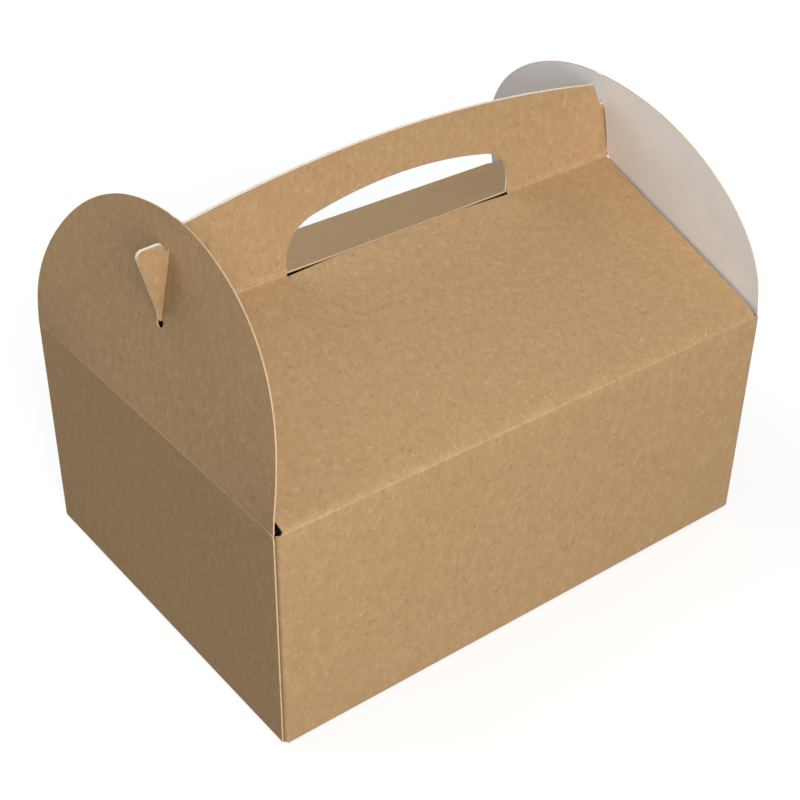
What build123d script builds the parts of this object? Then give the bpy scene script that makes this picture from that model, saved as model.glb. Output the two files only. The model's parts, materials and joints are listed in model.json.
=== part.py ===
from build123d import *
from math import cos, hypot, radians, sin, tan
import os

# Sheet stock: board thickness and the inside radius of every fold
board = 0.5
fold_inside = 0.5

# Carton body, outside sizes
box_length = 190.0
box_width = 136.0
side_wall_height = 80.0
end_wall_drop = 1.0
end_wall_inset = 1.4

# Gable roof and the two handle halves that stand on its ridge
roof_rise = 31.0
roof_end_gap = 0.8
roof_corner_cut = 1.2
roof_corner_rise = 2.6
panel_gap = 0.8
handle_end_inset = 17.0
handle_end_rise = 28.0
handle_crown = 7.0

# Hand hole in both handle halves, and the roof's curved free edge below it
hole_length = 87.4
hole_shift = -1.4
hole_height = 20.5
hole_crown = 6.5
hole_corner = 13.0
lip_crown = 0.9
lip_ramp = 20.0
lip_round = 300.0
lip_root = 2.0

# End flaps: an upright start on each side, then half an ellipse
flap_lean = 12.2
flap_upright = 9.0
flap_crown = 55.5
crease_gap = 0.3

# Hooks on the handle's ends: rise up the flap from the ridge, and reach out from its face
hook_foot_rise = 0.6
hook_top_rise = 24.2
hook_top_fall = 2.2
hook_top_start = 2.6
hook_reach = 11.2
throat_rise = 20.8
throat_depth = 1.1
hook_outer_round = 2.2
hook_inner_round = 1.8
throat_round = 0.6
foot_round = 0.3

# Slot in each flap for the two hooks of its side
slot_side_clearance = 0.3
slot_end_clearance = 0.4
slot_spare = 2.7
slot_bulb_width = 3.8
slot_bulb_height = 5.0

# Glue tabs inside the upright corners
tab_width = 17.0
tab_foot = 2.0
tab_head_drop = 1.2
tab_taper = 5.0
corner_head_drop = 0.6

# Extra length of cutting shapes past the sheet
cut_margin = 20.0

# Derived sizes
half_length = box_length / 2
half_width = box_width / 2
fold_outside = fold_inside + board
wall_end = half_length - board - fold_outside
end_wall_height = side_wall_height - end_wall_drop
end_panel_half = half_width - end_wall_inset
ridge_height = side_wall_height + roof_rise
handle_face = panel_gap / 2 + board
handle_half = half_length - handle_end_inset
handle_end_height = ridge_height + handle_end_rise
handle_top = handle_end_height + handle_crown
lean = radians(flap_lean)
ridge_along = (ridge_height - end_wall_height) / cos(lean)
hook_foot_along = ridge_along + hook_foot_rise
hook_top_along = ridge_along + hook_top_rise
throat_along = ridge_along + throat_rise


# Front elevation of a point given along the right flap and out from its face
def at_flap(along, out):
    x = half_length - along * sin(lean) + out * cos(lean)
    z = end_wall_height + along * cos(lean) + out * sin(lean)
    return (x, z)


# Right end of the roof at a height, kept clear of the flap's inner face
def roof_end(height):
    inner_face = half_length - board / cos(lean) - (height - end_wall_height) * tan(lean)
    return (inner_face - roof_end_gap, height)


# Long strip seen from the end: outer faces of handle, roof, wall, base and back up
strip_points = [(-handle_face, handle_top + cut_margin), (-handle_face, ridge_height)]
strip_points += [(-half_width, side_wall_height), (-half_width, 0)]
strip_points += [(half_width, 0), (half_width, side_wall_height)]
strip_points += [(handle_face, ridge_height), (handle_face, handle_top + cut_margin)]
strip_rounds = [fold_inside] + [fold_outside] * 4 + [fold_inside]

# Right end of the strip seen from the front: throat, hook, roof end and wall end
handle_corner = (handle_half, handle_end_height)
end_points = [handle_corner]
end_points += [at_flap(throat_along, -board - throat_depth), at_flap(throat_along, slot_side_clearance)]
end_points += [at_flap(hook_top_along, hook_top_start), at_flap(hook_top_along - hook_top_fall, hook_reach)]
end_points += [at_flap(hook_foot_along, 0), roof_end(ridge_height)]
end_points += [roof_end(side_wall_height + roof_corner_rise)]
end_points += [(roof_end(side_wall_height)[0] - roof_corner_cut, side_wall_height)]
end_points += [(wall_end, side_wall_height - fold_outside), (wall_end, -cut_margin)]
end_rounds = [throat_round, throat_round, hook_inner_round, hook_outer_round]
end_rounds += [foot_round, 0, 0, 0, 0]

# End walls and the base between them, seen from the front
end_wall_points = [(-half_length, end_wall_height), (-half_length, 0)]
end_wall_points += [(half_length, 0), (half_length, end_wall_height)]

# Hand hole: its floor is where the fold between roof and handle begins
roof_angle = radians(Vector(half_width - handle_face, roof_rise).get_angle(Vector(1, 0)))
fold_run = fold_inside * tan((radians(90) - roof_angle) / 2)
hole_floor = ridge_height - fold_run * sin(roof_angle) - board * cos(roof_angle)
hole_half = hole_length / 2
lip_edge = lip_crown - fold_run
hole_top = ridge_height + hole_height
hole_shoulder = hole_top - hole_crown

# Glue tab: seen from above with its upright fold, and its taper seen from the end
tab_start = -half_width + fold_outside
tab_end = tab_start + tab_width
tab_head = end_wall_height - tab_head_drop
tab_points = [(wall_end - fold_outside, -half_width), (half_length - board, -half_width)]
tab_points += [(half_length - board, tab_end)]
corner_head = side_wall_height - corner_head_drop
tab_taper_points = [(-half_width, fold_outside), (tab_start, fold_outside), (tab_start, tab_foot)]
tab_taper_points += [(tab_end, tab_foot + tab_taper), (tab_end, tab_head - tab_taper)]
tab_taper_points += [(tab_start, tab_head), (tab_start, corner_head), (-half_width, corner_head)]

# Slot: as wide as both hooks, and long enough for them to swing through
slot_width = 2 * board + panel_gap + 2 * slot_side_clearance
slot_bottom = hook_foot_along - slot_spare
slot_top = hypot(hook_top_along, hook_top_start) + slot_end_clearance

# One glue tab with the fold that carries it
with BuildPart() as tab:
    with BuildSketch(Plane.XY):
        with BuildLine():
            FilletPolyline(*tab_points, radius=fold_outside)
            offset(amount=board, side=Side.LEFT)
        make_face()
    extrude(amount=side_wall_height)
    with BuildSketch(Plane.YZ):
        with BuildLine():
            Polyline(*tab_taper_points, close=True)
        make_face()
    extrude(amount=box_length, mode=Mode.INTERSECT)

# Folded and glued sheet without its end flaps
with BuildPart() as carton:
    # Long strip, cut to the front elevation
    with BuildSketch(Plane.YZ):
        with BuildLine():
            FilletPolyline(*strip_points, radius=strip_rounds)
            offset(amount=board, side=Side.LEFT)
        make_face()
    extrude(amount=half_length + cut_margin, both=True)
    with BuildSketch(Plane.XZ):
        with BuildLine():
            ThreePointArc((-handle_half, handle_end_height), (0, handle_top), handle_corner)
            FilletPolyline(*end_points, radius=end_rounds)
            mirror(about=Plane.YZ)
            Line((-wall_end, -cut_margin), (wall_end, -cut_margin))
        make_face()
    extrude(amount=half_width + cut_margin, both=True, mode=Mode.INTERSECT)
    # Hand hole through both handle halves
    with BuildSketch(Plane(origin=(hole_shift, 0, 0), x_dir=(1, 0, 0), z_dir=(0, -1, 0))):
        with BuildLine():
            Polyline((-hole_half, hole_shoulder), (-hole_half, hole_floor), (hole_half, hole_floor))
            Line((hole_half, hole_floor), (hole_half, hole_shoulder))
            ThreePointArc((hole_half, hole_shoulder), (0, hole_top), (-hole_half, hole_shoulder))
        make_face()
        fillet(vertices().group_by(Axis.Y)[-1], hole_corner)
    extrude(amount=cut_margin, both=True, mode=Mode.SUBTRACT)
    # Free edges of the two roof panels, curved towards each other under the hole
    for side in (-1, 1):
        ridge_line = (hole_shift, side * handle_face, ridge_height)
        roof_normal = (0, side * sin(roof_angle), cos(roof_angle))
        with BuildSketch(Plane(origin=ridge_line, x_dir=(-side, 0, 0), z_dir=roof_normal)):
            with BuildLine():
                Polyline((-hole_half, -fold_run), (-hole_half, -lip_root), (hole_half, -lip_root))
                Line((hole_half, -lip_root), (hole_half, -fold_run))
                FilletPolyline(
                    (hole_half, -fold_run),
                    (hole_half - lip_ramp, lip_edge),
                    (lip_ramp - hole_half, lip_edge),
                    (-hole_half, -fold_run),
                    radius=lip_round,
                )
            make_face()
        extrude(amount=-board)
    # End walls folded up from the base
    with BuildSketch(Plane.XZ):
        with BuildLine():
            FilletPolyline(*end_wall_points, radius=fold_outside)
            offset(amount=board, side=Side.LEFT)
        make_face()
    extrude(amount=end_panel_half, both=True)
    # Glue tabs against the end walls
    for corner in (tab.part, tab.part.mirror(Plane.YZ)):
        add(corner)
        add(corner.mirror(Plane.XZ))
carton.part.label = "carton"

# Right end flap in its closed place, its outer face through the crease line
crease_line = (half_length, 0, end_wall_height)
with BuildPart() as right_end_flap:
    with BuildSketch(Plane(origin=crease_line, x_dir=(0, 1, 0), z_dir=(cos(lean), 0, sin(lean)))):
        with BuildLine():
            Line((-end_panel_half, flap_upright), (-end_panel_half, crease_gap))
            Line((-end_panel_half, crease_gap), (end_panel_half, crease_gap))
            Line((end_panel_half, crease_gap), (end_panel_half, flap_upright))
            EllipticalCenterArc((0, flap_upright), end_panel_half, flap_crown, 0, arc_size=180)
        make_face()
        with Locations((0, (slot_bottom + slot_top) / 2)):
            SlotOverall(slot_top - slot_bottom, slot_width, rotation=90, mode=Mode.SUBTRACT)
        with Locations((0, slot_bottom + slot_bulb_height / 2)):
            Ellipse(slot_bulb_width / 2, slot_bulb_height / 2, mode=Mode.SUBTRACT)
    extrude(amount=-board)
right_end_flap.part.label = "right_end_flap"

# Left end flap, the mirror image
with BuildPart() as left_end_flap:
    add(right_end_flap.part.mirror(Plane.YZ))
left_end_flap.part.label = "left_end_flap"

os.makedirs("parts", exist_ok=True)
export_step(carton.part, "parts/carton.step")
export_step(right_end_flap.part, "parts/right_end_flap.step")
export_step(left_end_flap.part, "parts/left_end_flap.step")
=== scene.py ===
import json
import math
import bmesh
import bpy
from mathutils import Matrix, Vector
from mathutils.bvhtree import BVHTree


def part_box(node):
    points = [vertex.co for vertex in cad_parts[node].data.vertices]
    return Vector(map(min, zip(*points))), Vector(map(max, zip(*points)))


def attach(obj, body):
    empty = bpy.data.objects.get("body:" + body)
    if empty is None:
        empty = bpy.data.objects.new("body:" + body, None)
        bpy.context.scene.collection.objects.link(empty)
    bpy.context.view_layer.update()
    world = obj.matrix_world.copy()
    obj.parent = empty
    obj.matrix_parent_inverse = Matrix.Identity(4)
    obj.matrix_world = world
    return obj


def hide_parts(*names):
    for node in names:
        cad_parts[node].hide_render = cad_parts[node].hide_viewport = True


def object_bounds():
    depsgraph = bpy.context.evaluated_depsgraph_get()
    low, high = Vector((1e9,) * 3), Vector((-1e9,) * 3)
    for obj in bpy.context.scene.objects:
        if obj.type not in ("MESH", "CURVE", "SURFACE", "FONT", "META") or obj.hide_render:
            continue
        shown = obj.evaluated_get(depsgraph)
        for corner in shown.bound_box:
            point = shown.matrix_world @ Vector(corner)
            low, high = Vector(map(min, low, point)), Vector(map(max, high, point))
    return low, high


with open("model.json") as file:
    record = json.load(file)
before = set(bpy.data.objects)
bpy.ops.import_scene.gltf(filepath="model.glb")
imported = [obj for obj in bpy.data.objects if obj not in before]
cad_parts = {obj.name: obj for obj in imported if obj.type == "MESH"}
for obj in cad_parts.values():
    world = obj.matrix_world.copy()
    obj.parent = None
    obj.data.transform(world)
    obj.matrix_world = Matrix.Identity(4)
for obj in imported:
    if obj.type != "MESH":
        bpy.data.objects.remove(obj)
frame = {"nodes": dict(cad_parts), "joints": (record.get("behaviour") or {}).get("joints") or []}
cad_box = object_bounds()

# Sizes of the folded sheet, in metres
BOARD = 0.0005
HALF_LENGTH = cad_box[1].x
HALF_WIDTH = cad_box[1].y
HANDLE_TOP = cad_box[1].z
WALL_HEIGHT = 0.080
END_WALL_HEIGHT = frame["joints"][0]["pos_m"][2]
RIDGE_HEIGHT = 0.111
RIDGE_HALF = 0.0865
HANDLE_FACE = 0.0009
HOLE_SHIFT = -0.0014
HOLE_HALF = 0.0437
HOLE_TOP = 0.1315
FLAP_LEAN = math.radians(12.2)
FLAP_HEIGHT = 0.0645
END_PANEL_HALF = 0.0666

# Finer mesh for the gentle bends of the board, and how its faces are told apart
GRID_STEP = 0.005
WELD = 0.000001
PROBE = 0.0001
THICK_LIMIT = 2.2 * BOARD
END_ZONE = 4 * BOARD
SHARP_ANGLE = math.radians(35)
FOLD_ANGLE = math.radians(4)
CORE = Vector((0, 0, 0.06))
UP = Vector((0, 0, 1))
NORMAL_DIGITS = 4

# How far the panels bow in, and how far the ridge runs askew at each end
WALL_BOW = 0.0007
END_BOW = 0.0005
ROOF_SAG = 0.0006
HANDLE_SWAY = 0.0005
RIDGE_SKEW = 0.0016

# The ridge's ends reach for the flaps
RIDGE_REACH = 0.0006
REACH_ZONE = 0.004

# Folds between walls and roofs are soft: the sheet dips towards them from both sides
FOLD_DIP = {-1: 0.0006, 1: 0.0001}
FOLD_ZONE = 0.005
FOLD_CUTS = 6
LEVEL_LIMIT = 0.1

# Painted highlight, with some wear, along the folds: how far it reaches down the wall and up the roof,
# and how it fades to the right
WALL_HIGHLIGHT_AND_WEAR = FOLD_ZONE / FOLD_CUTS
ROOF_HIGHLIGHT_AND_WEAR = 2 * FOLD_ZONE / FOLD_CUTS
CREST_DROP = 0.0003
FOLD_CREST = WALL_HEIGHT - CREST_DROP
FOLD_HIGHLIGHT_FADE = 0.6
# How much the painted highlight and wear pale the kraft at the folds
FOLD_HIGHLIGHT_AND_WEAR = (1.28, 1.38, 1.50)

# The two handle halves press together above their fold and at the hooks
PRESS = 0.00032
PRESS_RISE = 0.012
PRESS_START = 0.079
PRESS_FULL = 0.087

# End flaps: their sides bow out, more on the left, and the slot follows the hooks
FLAP_BOW = {-1: 0.0018, 1: 0.0005}
BOW_SHAPE = 27 / 4
SLOT_ZONE = 0.030
SLOT_HALF = 0.0012
SLOT_SIDE_ZONE = 0.0065
SLOT_TOP = 0.0574
SLOT_TOP_ZONE = 0.0065
SLOT_TOP_DRAW = 0.0022
SLOT_TOP_PINCH = 0.00105
SLOT_FOOT = 0.0345
SLOT_FOOT_ZONE = 0.003
SLOT_FOOT_PINCH = {-1: 0.0001, 1: 0.0009}

# Scored lines beside the fold between roof and handle: heights, half width and rise, and the painted
# highlight, with some wear, that pales them
SCORE_HEIGHTS = (0.1118, 0.1128)
SCORE_HALF = 0.00013
SCORE_RISE = 0.00004
SCORE_HIGHLIGHT_AND_WEAR = (1.30, 1.34, 1.40)

# Crease bead at the foot of each end flap
BEAD_HALF_DEPTH = 0.00024
BEAD_HALF_HEIGHT = 0.00026
BEAD_LIFT = 0.0001
BEAD_STEPS = 60
BEAD_SIDES = 8

# Photograph's camera: where it looks, from where, and its lens
AIM = Vector((0.00751, -0.00009, 0.02907))
CAMERA_AZIMUTH = math.radians(-38.954)
CAMERA_ELEVATION = math.radians(36.024)
CAMERA_ROLL = math.radians(1.377)
CAMERA_DISTANCE = 0.53792
CAMERA_LENS = 70.4
CAMERA_SENSOR = 36
CAMERA_SHIFT = (-0.023, 0.0438)

# Studio: floor, surround and three lamps
FLOOR_REACH = 6.0
FLOOR_DROP = 0.0002
FLOOR_COLOUR = (0.45, 0.45, 0.45)
FLOOR_BOUNCE = (0.08, 0.08, 0.08)
FLOOR_GLOW = (0.66, 0.88)
GLOW_REACH = (0.25, 1.0)
FLOOR_ROUGHNESS = 0.9
FLOOR_SPECULAR = 0.1
AMBIENT = 0.27
AMBIENT_TINT = (0.94, 0.98, 1.0)
KEY_PLACE = (-0.20, -0.77, 0.38)
KEY_SIZE = 0.7
KEY_POWER = 6.95
KEY_COLOUR = (1.0, 0.98, 0.95)
TOP_PLACE = (-0.36, 0.52, 0.70)
TOP_SIZE = 0.7
TOP_POWER = 3.9
TOP_COLOUR = (0.9, 0.96, 1.0)
FILL_PLACE = (0.95, 0.15, 0.20)
FILL_SIZE = 0.6
FILL_POWER = 2.4
FILL_COLOUR = (1.0, 1.0, 1.0)
WHITE = (1, 1, 1)

# Kraft outside: its tones, and its noises as scale, detail and stretch
PULP = (0.499, 0.323, 0.168)
DARK_PULP = (0.440, 0.277, 0.138)
PALE_PULP = (0.600, 0.425, 0.245)
SHIVE = (0.290, 0.175, 0.088)
KRAFT_CLOUD = (420, 4, (1, 1, 0.7))
KRAFT_GRAIN = (700, 3, (1, 1, 0.6))
PALE_FLECKS = (800, 1, (1, 1, 0.8))
DARK_FLECKS = (750, 1, (1, 1, 0.65))
# Patches that break up the painted highlight and wear of folds, scored lines and beads
HIGHLIGHT_AND_WEAR_PATCHES = (160, 2)

# What the kraft's noises do: where each starts and ends to count, and the least and most that it gives
KRAFT_CLOUD_SHARE = (0.36, 0.64, 0, 1)
KRAFT_GRAIN_SHARE = (0.58, 0.36, 0, 0.85)
PALE_FLECK_SHARE = (0.64, 0.75, 0, 0.5)
DARK_FLECK_SHARE = (0.63, 0.75, 0, 0.45)
HIGHLIGHT_AND_WEAR_PATCH_SHARE = (0.35, 0.65, 0.6, 1)
KRAFT_ROUGHNESS = (0.3, 0.7, 0.78, 0.92)
KRAFT_SPECULAR = 0.25
KRAFT_BUMP = (0.00004, 0.5)

# White liner inside
LINER_SHADE = (0.855, 0.855, 0.865)
LINER_WHITE = (0.89, 0.89, 0.90)
LINER_CLOUD = (90, 3)
LINER_CLOUD_SHARE = (0.35, 0.65)
LINER_GRAIN = (1400, 3)
LINER_ROUGHNESS = (0.3, 0.7, 0.5, 0.66)
LINER_SPECULAR = 0.35
LINER_BUMP = (0.00003, 0.4)

# Raw cut edges: core and shade of the plain ones and of the handle's rim, and their brown fibres
CUT_CORE = (0.73, 0.54, 0.36)
CUT_SHADE = (0.64, 0.45, 0.28)
# Handle's rim: paler partly as white board and partly as a painted highlight from the light above
RIM_CORE = (0.95, 0.87, 0.75)
RIM_SHADE = (0.92, 0.80, 0.66)
CUT_FIBRE = (0.55, 0.38, 0.22)
CUT_FUZZ = (1600, 4)
CUT_FUZZ_SHARE = (0.35, 0.65)
CUT_LAYERS = (500, 2)
CUT_LAYER_SHARE = (0.55, 0.7, 0, 0.4)
CUT_ROUGHNESS = 0.92
CUT_SPECULAR = 0.2
CUT_BUMP = (0.00006, 0.6)

# Sockets of a colour Mix node
MIX_FIRST, MIX_SECOND, MIX_RESULT = 6, 7, 2


# Material helpers
def new_material(name):
    material = bpy.data.materials.new(name)
    material.use_nodes = True
    tree = material.node_tree
    coords = tree.nodes.new("ShaderNodeTexCoord")
    return material, tree, tree.nodes["Principled BSDF"], coords.outputs["Object"]


def noise(tree, coords, scale, detail, stretch=(1, 1, 1)):
    mapping = tree.nodes.new("ShaderNodeMapping")
    mapping.inputs["Scale"].default_value = stretch
    texture = tree.nodes.new("ShaderNodeTexNoise")
    texture.inputs["Scale"].default_value = scale
    texture.inputs["Detail"].default_value = detail
    tree.links.new(coords, mapping.inputs["Vector"])
    tree.links.new(mapping.outputs["Vector"], texture.inputs["Vector"])
    return texture.outputs["Fac"]


def remap(tree, value, low, high, to_low=0.0, to_high=1.0):
    node = tree.nodes.new("ShaderNodeMapRange")
    node.inputs["From Min"].default_value = low
    node.inputs["From Max"].default_value = high
    node.inputs["To Min"].default_value = to_low
    node.inputs["To Max"].default_value = to_high
    tree.links.new(value, node.inputs["Value"])
    return node.outputs["Result"]


def blend_colour(tree, factor, first, second, mode="MIX"):
    node = tree.nodes.new("ShaderNodeMix")
    node.data_type = "RGBA"
    node.blend_type = mode
    tree.links.new(factor, node.inputs["Factor"])
    for value, socket in ((first, MIX_FIRST), (second, MIX_SECOND)):
        if isinstance(value, tuple):
            node.inputs[socket].default_value = value + (1,)
        else:
            tree.links.new(value, node.inputs[socket])
    return node.outputs[MIX_RESULT]


def add_bump(tree, shader, height, distance, strength):
    bump = tree.nodes.new("ShaderNodeBump")
    bump.inputs["Distance"].default_value = distance
    bump.inputs["Strength"].default_value = strength
    tree.links.new(height, bump.inputs["Height"])
    tree.links.new(bump.outputs["Normal"], shader.inputs["Normal"])


def multiply(tree, first, second):
    node = tree.nodes.new("ShaderNodeMath")
    node.operation = "MULTIPLY"
    tree.links.new(first, node.inputs[0])
    tree.links.new(second, node.inputs[1])
    return node.outputs[0]


# Share of painted highlight and wear on the surface: what the mesh says, broken up by patches
def highlight_and_wear_share(tree, coords):
    highlight_and_wear = tree.nodes.new("ShaderNodeAttribute")
    highlight_and_wear.attribute_name = "highlight_and_wear"
    patches = remap(tree, noise(tree, coords, *HIGHLIGHT_AND_WEAR_PATCHES), *HIGHLIGHT_AND_WEAR_PATCH_SHARE)
    return multiply(tree, highlight_and_wear.outputs["Fac"], patches)


# Kraft outside: soft clouds, an upright grain, pale and dark flecks, and a paler tone of painted
# highlight with some wear where the mesh asks for it
def kraft_material(name, lift=None):
    material, tree, shader, coords = new_material(name)
    cloud = noise(tree, coords, *KRAFT_CLOUD)
    grain = noise(tree, coords, *KRAFT_GRAIN)
    pale_flecks = noise(tree, coords, *PALE_FLECKS)
    dark_flecks = noise(tree, coords, *DARK_FLECKS)
    colour = blend_colour(tree, remap(tree, cloud, *KRAFT_CLOUD_SHARE), DARK_PULP, PULP)
    colour = blend_colour(tree, remap(tree, grain, *KRAFT_GRAIN_SHARE), colour, DARK_PULP)
    colour = blend_colour(tree, remap(tree, pale_flecks, *PALE_FLECK_SHARE), colour, PALE_PULP)
    colour = blend_colour(tree, remap(tree, dark_flecks, *DARK_FLECK_SHARE), colour, SHIVE)
    if lift:
        # Painted highlight and wear: the kraft is paled where the mesh asks for it
        colour = blend_colour(tree, highlight_and_wear_share(tree, coords), colour, lift, "MULTIPLY")
    tree.links.new(colour, shader.inputs["Base Color"])
    tree.links.new(remap(tree, grain, *KRAFT_ROUGHNESS), shader.inputs["Roughness"])
    shader.inputs["Specular IOR Level"].default_value = KRAFT_SPECULAR
    add_bump(tree, shader, grain, *KRAFT_BUMP)
    return material


# White coated inside
def liner_material():
    material, tree, shader, coords = new_material("white_liner")
    cloud = noise(tree, coords, *LINER_CLOUD)
    grain = noise(tree, coords, *LINER_GRAIN)
    colour = blend_colour(tree, remap(tree, cloud, *LINER_CLOUD_SHARE), LINER_SHADE, LINER_WHITE)
    tree.links.new(colour, shader.inputs["Base Color"])
    tree.links.new(remap(tree, grain, *LINER_ROUGHNESS), shader.inputs["Roughness"])
    shader.inputs["Specular IOR Level"].default_value = LINER_SPECULAR
    add_bump(tree, shader, grain, *LINER_BUMP)
    return material


# Raw cut edge: pale core with torn brown fibres
def cut_edge_material(name, core, shade):
    material, tree, shader, coords = new_material(name)
    fuzz = noise(tree, coords, *CUT_FUZZ)
    layers = noise(tree, coords, *CUT_LAYERS)
    colour = blend_colour(tree, remap(tree, fuzz, *CUT_FUZZ_SHARE), shade, core)
    colour = blend_colour(tree, remap(tree, layers, *CUT_LAYER_SHARE), colour, CUT_FIBRE)
    tree.links.new(colour, shader.inputs["Base Color"])
    shader.inputs["Roughness"].default_value = CUT_ROUGHNESS
    shader.inputs["Specular IOR Level"].default_value = CUT_SPECULAR
    add_bump(tree, shader, fuzz, *CUT_BUMP)
    return material


# Materials of the board, in the order of the numbers that its faces carry
OUTSIDE, FOLD, SCORE, INSIDE, CUT, HANDLE_CUT = range(6)
board_materials = [
    kraft_material("kraft"),
    # Kraft with the painted highlight and wear of the folds and beads
    kraft_material("kraft_fold_highlight_and_wear", FOLD_HIGHLIGHT_AND_WEAR),
    # Kraft with the painted highlight and wear of the scored lines
    kraft_material("kraft_score_highlight_and_wear", SCORE_HIGHLIGHT_AND_WEAR),
    liner_material(),
    cut_edge_material("cut_edge", CUT_CORE, CUT_SHADE),
    # The handle's rim: white board with a painted highlight from above
    cut_edge_material("handle_cut_edge", RIM_CORE, RIM_SHADE),
]


# Flat panel directions: a face turned away from all of them is part of a fold or a curved rim
roof_slope = math.atan2(RIDGE_HEIGHT - WALL_HEIGHT, HALF_WIDTH - HANDLE_FACE)
PANEL_NORMALS = [Vector((1, 0, 0)), Vector((0, 1, 0)), Vector((0, 0, 1))]
PANEL_NORMALS += [Vector((0, side * math.sin(roof_slope), math.cos(roof_slope))) for side in (-1, 1)]
PANEL_NORMALS += [Vector((side * math.cos(FLAP_LEAN), 0, math.sin(FLAP_LEAN))) for side in (-1, 1)]


def in_fold(normal):
    return all(abs(normal.dot(panel)) < math.cos(FOLD_ANGLE) for panel in PANEL_NORMALS)


# 1 in the middle of a span, falling smoothly to 0 at its ends
def hump(value, half_span):
    share = min(abs(value) / half_span, 1)
    return (1 - share * share) ** 2


# 0 at both ends of a span and 1 in its middle, as half a sine wave
def arch(value, low, high):
    return math.sin(math.pi * ramp(value, low, high))


# 0 up to the low end of a span, then straight up to 1 at its high end
def ramp(value, low, high):
    return min(max((value - low) / (high - low), 0), 1)


# Each face is kraft outside, white inside or a cut edge, paler on the handle's rim as white board with a
# painted highlight from above, and keeps its normal
def sort_faces(bm):
    kept_normal = bm.faces.layers.float_vector.new("kept_normal")
    tree = BVHTree.FromBMesh(bm)
    for face in bm.faces:
        face[kept_normal] = face.normal
        centre = face.calc_center_median()
        inward = -face.normal
        thickness = tree.ray_cast(centre + inward * WELD, inward)[3]
        on_handle = centre.z > RIDGE_HEIGHT and abs(centre.y) < HANDLE_FACE
        in_hole = abs(centre.x - HOLE_SHIFT) < HOLE_HALF + BOARD and centre.z < HOLE_TOP + BOARD
        if thickness is None or thickness > THICK_LIMIT:
            face.material_index = HANDLE_CUT if on_handle and not in_hole else CUT
        elif face.normal.dot(centre - CORE) < 0:
            face.material_index = INSIDE
        else:
            face.material_index = OUTSIDE


# A cut through the whole mesh along one plane
def cut_plane(bm, point, normal):
    geometry = bm.verts[:] + bm.edges[:] + bm.faces[:]
    bmesh.ops.bisect_plane(bm, geom=geometry, dist=WELD, plane_co=point, plane_no=normal)


# Even cuts along all three axes
def slice_mesh(bm, low, high):
    for axis in range(3):
        normal = Vector((0, 0, 0))
        normal[axis] = 1
        for index in range(1, int((high[axis] - low[axis]) / GRID_STEP) + 1):
            cut_plane(bm, normal * (low[axis] + index * GRID_STEP), normal)


# How much painted highlight, with some wear, a fold between wall and roof gets: most at its crest and
# its left end
def fold_highlight_and_wear(p):
    wear_top = WALL_HEIGHT + ROOF_HIGHLIGHT_AND_WEAR * math.sin(roof_slope)
    share = ramp(p.z, WALL_HEIGHT - WALL_HIGHLIGHT_AND_WEAR, FOLD_CREST) - ramp(p.z, FOLD_CREST, wear_top)
    return share ** 2 * (1 - FOLD_HIGHLIGHT_FADE * ramp(p.x, -HALF_LENGTH, HALF_LENGTH))


# Closer cuts on both sides of the folds between walls and roofs, and their band of painted highlight and
# wear
def slice_folds(bm):
    for cut in range(1, FOLD_CUTS + 1):
        reach = FOLD_ZONE * cut / FOLD_CUTS
        cut_plane(bm, UP * (WALL_HEIGHT - reach), UP)
        cut_plane(bm, UP * (WALL_HEIGHT + reach * math.sin(roof_slope)), UP)
    highlight_and_wear = bm.verts.layers.float.new("highlight_and_wear")
    for face in bm.faces:
        on_fold = fold_highlight_and_wear(face.calc_center_median()) > 0
        if on_fold and face.material_index == OUTSIDE and abs(face.normal.x) < LEVEL_LIMIT:
            face.material_index = FOLD
            for vert in face.verts:
                vert[highlight_and_wear] = fold_highlight_and_wear(vert.co)


# Scored lines: narrow strips of the outer face, raised along their middle and paled by a painted
# highlight with some wear
def score_lines(bm):
    kept_normal = bm.faces.layers.float_vector["kept_normal"]
    highlight_and_wear = bm.verts.layers.float["highlight_and_wear"]
    for height in SCORE_HEIGHTS:
        for offset in (-SCORE_HALF, 0, SCORE_HALF):
            cut_plane(bm, UP * (height + offset), UP)
        strip = [f for f in bm.faces if abs(f.calc_center_median().z - height) < SCORE_HALF]
        strip = [f for f in strip if f.material_index == OUTSIDE]
        for face in strip:
            face.material_index = SCORE
            for vert in face.verts:
                vert[highlight_and_wear] = 1
        middle = {v for f in strip for v in f.verts if abs(v.co.z - height) < WELD}
        for vert in middle:
            sides = {f.material_index for f in vert.link_faces}
            if sides == {SCORE}:
                vert.co += Vector(vert.link_faces[0][kept_normal]) * SCORE_RISE
        for face in strip:
            face.normal_update()
            face[kept_normal] = face.normal


# The ridge runs a little askew, as the sheet was folded by hand
def skew(p):
    return RIDGE_SKEW * p.x / HALF_LENGTH * ramp(p.z, WALL_HEIGHT, RIDGE_HEIGHT)


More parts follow.
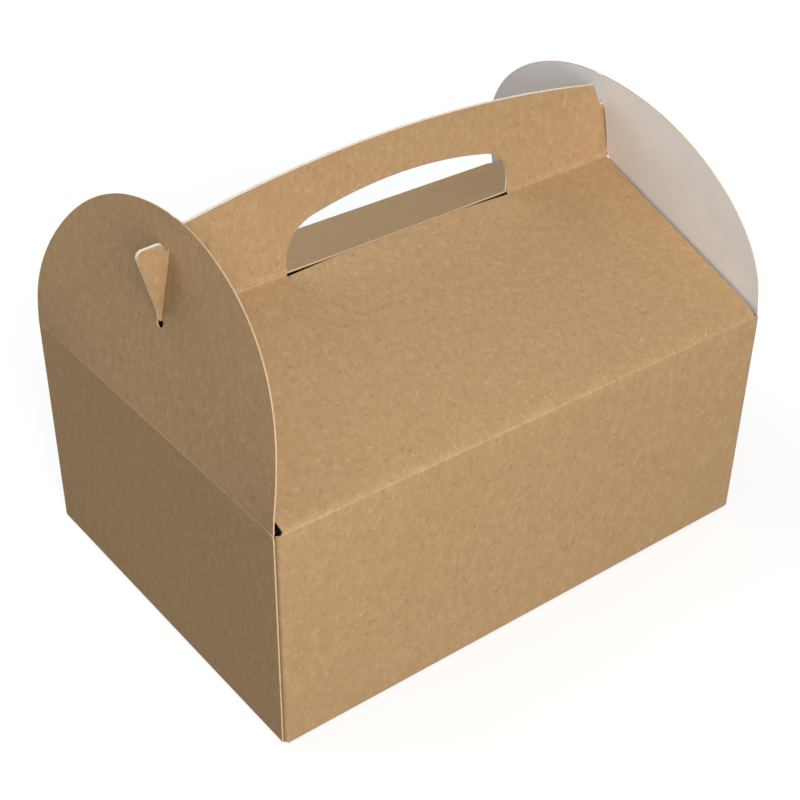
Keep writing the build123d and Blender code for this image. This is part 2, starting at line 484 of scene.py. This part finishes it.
# How the carton's board lies: walls bow in, roofs sag, the handle sways and its halves press together
def carton_bend(p):
    reach = RIDGE_REACH * ramp(abs(p.x), PRESS_START, RIDGE_HALF) * hump(p.z - RIDGE_HEIGHT, REACH_ZONE)
    move = Vector((math.copysign(reach, p.x), skew(p), 0))
    roof_normal = Vector((0, math.copysign(math.sin(roof_slope), p.y), math.cos(roof_slope)))
    dip = roof_normal * FOLD_DIP[int(math.copysign(1, p.y))]
    if p.z >= RIDGE_HEIGHT:
        pressed = max(ramp(abs(p.x), PRESS_START, PRESS_FULL), ramp(p.z - RIDGE_HEIGHT, 0, PRESS_RISE))
        move.y -= math.copysign(PRESS, p.y) * pressed
        move.y += HANDLE_SWAY * hump(p.x, RIDGE_HALF) * ramp(p.z, RIDGE_HEIGHT, HANDLE_TOP)
    elif p.z >= WALL_HEIGHT:
        from_fold = (p.z - WALL_HEIGHT) / math.sin(roof_slope)
        move -= dip * (1 - ramp(from_fold, 0, FOLD_ZONE)) ** 2
        move -= roof_normal * ROOF_SAG * hump(p.x, RIDGE_HALF) * arch(p.z, WALL_HEIGHT, RIDGE_HEIGHT)
    else:
        if abs(p.y) > END_PANEL_HALF:
            move -= dip * (1 - ramp(WALL_HEIGHT - p.z, 0, FOLD_ZONE)) ** 2
            move.y -= math.copysign(WALL_BOW, p.y) * hump(p.x, HALF_LENGTH) * arch(p.z, 0, WALL_HEIGHT)
        if abs(p.x) > HALF_LENGTH - END_ZONE:
            move.x -= math.copysign(END_BOW, p.x) * hump(p.y, HALF_WIDTH) * arch(p.z, 0, END_WALL_HEIGHT)
    return move


# How an end flap lies: its sides bow out, and its slot follows the hooks and closes around them
def flap_bend(p):
    side = int(math.copysign(1, p.x))
    outward = Vector((side * math.cos(FLAP_LEAN), 0, math.sin(FLAP_LEAN)))
    upward = Vector((-side * math.sin(FLAP_LEAN), 0, math.cos(FLAP_LEAN)))
    along = (p - Vector((side * HALF_LENGTH, 0, END_WALL_HEIGHT))).dot(upward)
    share = ramp(along, 0, FLAP_HEIGHT)
    bow = FLAP_BOW[side] * BOW_SHAPE * share * (1 - share) ** 2 * (p.y / END_PANEL_HALF) ** 2
    at_side = hump(p.y, SLOT_SIDE_ZONE)
    at_top = hump(along - SLOT_TOP, SLOT_TOP_ZONE) * at_side
    at_foot = hump(along - SLOT_FOOT, SLOT_FOOT_ZONE) * at_side
    pinch = SLOT_TOP_PINCH * at_top + SLOT_FOOT_PINCH[side] * at_foot
    pinch *= ramp(abs(p.y), 0, SLOT_HALF)
    across = Vector((0, skew(p) * hump(p.y, SLOT_ZONE) - math.copysign(pinch, p.y), 0))
    return outward * bow - upward * SLOT_TOP_DRAW * at_top + across


# Normals that keep flat panels flat and round folds and rims smooth, tilted with the bend
def corner_normals(bm, bend):
    kept_normal = bm.faces.layers.float_vector["kept_normal"]
    bm.faces.index_update()
    bm.verts.index_update()
    kept = [Vector(face[kept_normal]) for face in bm.faces]
    folded = [in_fold(normal) for normal in kept]
    tilted = {}
    normals = []
    for face in bm.faces:
        for vert in face.verts:
            normal = kept[face.index]
            if folded[face.index]:
                around = [f.index for f in vert.link_faces]
                near = [index for index in around if normal.dot(kept[index]) > math.cos(SHARP_ANGLE)]
                flat = [index for index in near if not folded[index]]
                rounds = sorted({kept[index].to_tuple(NORMAL_DIGITS) for index in flat[:1] or near})
                normal = sum((Vector(n) for n in rounds), Vector()).normalized()
            key = (vert.index, normal.to_tuple(NORMAL_DIGITS))
            if key not in tilted:
                tilted[key] = tilt(normal, vert.co, bend)
            normals.append(tilted[key])
    return normals


# A normal after the bend: turned by the bend's slope at its point
def tilt(normal, point, bend):
    here = bend(point).dot(normal)
    slope = Vector((0, 0, 0))
    for axis in range(3):
        step = Vector((0, 0, 0))
        step[axis] = PROBE
        slope[axis] = (bend(point + step).dot(normal) - here) / PROBE
    return (normal - slope).normalized()


# Dressed piece for a CAD node: its faces sorted, cut finer, bent, and given the board's materials
def dress(node, body, bend):
    low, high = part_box(node)
    bm = bmesh.new()
    bm.from_mesh(frame["nodes"][node].data)
    bmesh.ops.remove_doubles(bm, verts=bm.verts, dist=WELD)
    bm.normal_update()
    sort_faces(bm)
    slice_mesh(bm, low, high)
    if body == "box":
        slice_folds(bm)
        score_lines(bm)
    normals = corner_normals(bm, bend)
    for vert in bm.verts:
        vert.co += bend(vert.co)
    bm.faces.layers.float_vector.remove(bm.faces.layers.float_vector["kept_normal"])
    mesh = bpy.data.meshes.new(node + "_board")
    bm.to_mesh(mesh)
    bm.free()
    for material in board_materials:
        mesh.materials.append(material)
    mesh.shade_smooth()
    mesh.normals_split_custom_set(normals)
    piece = bpy.data.objects.new(node + "_board", mesh)
    bpy.context.scene.collection.objects.link(piece)
    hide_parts(node)
    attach(piece, body)


dress("carton", "box", carton_bend)
dress("left_end_flap", "left_flap", flap_bend)
dress("right_end_flap", "right_flap", flap_bend)


# Rounded crease bead between an end wall and its flap, paled all over by the fold's painted highlight
# and wear
def crease_bead(name, side):
    bm = bmesh.new()
    highlight_and_wear = bm.verts.layers.float.new("highlight_and_wear")
    rings = []
    for step in range(BEAD_STEPS + 1):
        y = END_PANEL_HALF * (2 * step / BEAD_STEPS - 1)
        ring = []
        for corner in range(BEAD_SIDES):
            angle = 2 * math.pi * corner / BEAD_SIDES
            x = HALF_LENGTH - BOARD / 2 + BEAD_HALF_DEPTH * math.cos(angle)
            z = END_WALL_HEIGHT + BEAD_LIFT + BEAD_HALF_HEIGHT * math.sin(angle)
            ring.append(bm.verts.new((side * x, y, z)))
        rings.append(ring)
    for first, second in zip(rings, rings[1:]):
        for corner in range(BEAD_SIDES):
            following = (corner + 1) % BEAD_SIDES
            bm.faces.new((first[corner], first[following], second[following], second[corner]))
    bm.faces.new(rings[0])
    bm.faces.new(reversed(rings[-1]))
    bmesh.ops.recalc_face_normals(bm, faces=bm.faces)
    for vert in bm.verts:
        vert[highlight_and_wear] = 1
    mesh = bpy.data.meshes.new(name)
    bm.to_mesh(mesh)
    bm.free()
    # Fold kraft at full share: painted highlight, with some wear
    mesh.materials.append(board_materials[FOLD])
    mesh.shade_smooth()
    bead = bpy.data.objects.new(name, mesh)
    bpy.context.scene.collection.objects.link(bead)
    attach(bead, "box")


crease_bead("left_crease", -1)
crease_bead("right_crease", 1)


# 1 for rays that show the surround itself: to the camera, in a reflection or through glass
def shown_ray(tree):
    path = tree.nodes.new("ShaderNodeLightPath")
    shown = path.outputs["Is Camera Ray"]
    for name in ("Is Glossy Ray", "Is Transmission Ray"):
        either = tree.nodes.new("ShaderNodeMath")
        either.operation = "MAXIMUM"
        tree.links.new(shown, either.inputs[0])
        tree.links.new(path.outputs[name], either.inputs[1])
        shown = either.outputs[0]
    return shown


# Pale floor that glows less near the box, so that it keeps the box's shadow
def make_floor():
    mesh = bpy.data.meshes.new("floor")
    signs = ((-1, -1), (1, -1), (1, 1), (-1, 1))
    corners = [(x * FLOOR_REACH, y * FLOOR_REACH, -FLOOR_DROP) for x, y in signs]
    mesh.from_pydata(corners, [], [range(len(corners))])
    material, tree, shader, coords = new_material("floor")
    shown = shown_ray(tree)
    tree.links.new(blend_colour(tree, shown, FLOOR_BOUNCE, FLOOR_COLOUR), shader.inputs["Base Color"])
    shader.inputs["Roughness"].default_value = FLOOR_ROUGHNESS
    shader.inputs["Specular IOR Level"].default_value = FLOOR_SPECULAR
    shader.inputs["Emission Color"].default_value = WHITE + (1,)
    distance = tree.nodes.new("ShaderNodeVectorMath")
    distance.operation = "LENGTH"
    tree.links.new(coords, distance.inputs[0])
    glow = remap(tree, distance.outputs["Value"], *GLOW_REACH, *FLOOR_GLOW)
    tree.links.new(multiply(tree, shown, glow), shader.inputs["Emission Strength"])
    mesh.materials.append(material)
    floor = bpy.data.objects.new("floor", mesh)
    bpy.context.scene.collection.objects.link(floor)


# Surround: white where it is seen, and a weaker, cooler light on the box
def make_world():
    world = bpy.data.worlds.new("studio")
    bpy.context.scene.world = world
    world.use_nodes = True
    tree = world.node_tree
    backdrop = tree.nodes["Background"]
    shown = shown_ray(tree)
    tree.links.new(blend_colour(tree, shown, AMBIENT_TINT, WHITE), backdrop.inputs["Color"])
    tree.links.new(remap(tree, shown, 0, 1, AMBIENT, 1), backdrop.inputs["Strength"])


# Round lamp turned to the box
def area_light(name, place, size, power, colour):
    data = bpy.data.lights.new(name, "AREA")
    data.shape = "DISK"
    data.size = size
    data.energy = power
    data.color = colour
    lamp = bpy.data.objects.new(name, data)
    lamp.location = place
    lamp.rotation_euler = (AIM - Vector(place)).to_track_quat("-Z", "Y").to_euler()
    bpy.context.scene.collection.objects.link(lamp)


make_floor()
make_world()
area_light("key", KEY_PLACE, KEY_SIZE, KEY_POWER, KEY_COLOUR)
area_light("top", TOP_PLACE, TOP_SIZE, TOP_POWER, TOP_COLOUR)
area_light("fill", FILL_PLACE, FILL_SIZE, FILL_POWER, FILL_COLOUR)


# Camera at the photograph's place
def make_camera():
    back = Vector((
        math.sin(CAMERA_AZIMUTH) * math.cos(CAMERA_ELEVATION),
        -math.cos(CAMERA_AZIMUTH) * math.cos(CAMERA_ELEVATION),
        math.sin(CAMERA_ELEVATION),
    ))
    right = UP.cross(back).normalized()
    up = back.cross(right)
    rolled_right = right * math.cos(CAMERA_ROLL) + up * math.sin(CAMERA_ROLL)
    rolled_up = up * math.cos(CAMERA_ROLL) - right * math.sin(CAMERA_ROLL)
    turn = Matrix((rolled_right, rolled_up, back)).transposed().to_4x4()
    data = bpy.data.cameras.new("camera")
    data.lens = CAMERA_LENS
    data.sensor_width = CAMERA_SENSOR
    data.shift_x, data.shift_y = CAMERA_SHIFT
    camera = bpy.data.objects.new("camera", data)
    camera.matrix_world = Matrix.Translation(AIM + back * CAMERA_DISTANCE) @ turn
    bpy.context.scene.collection.objects.link(camera)
    bpy.context.scene.camera = camera


make_camera()
bpy.context.scene.view_settings.view_transform = "Standard"
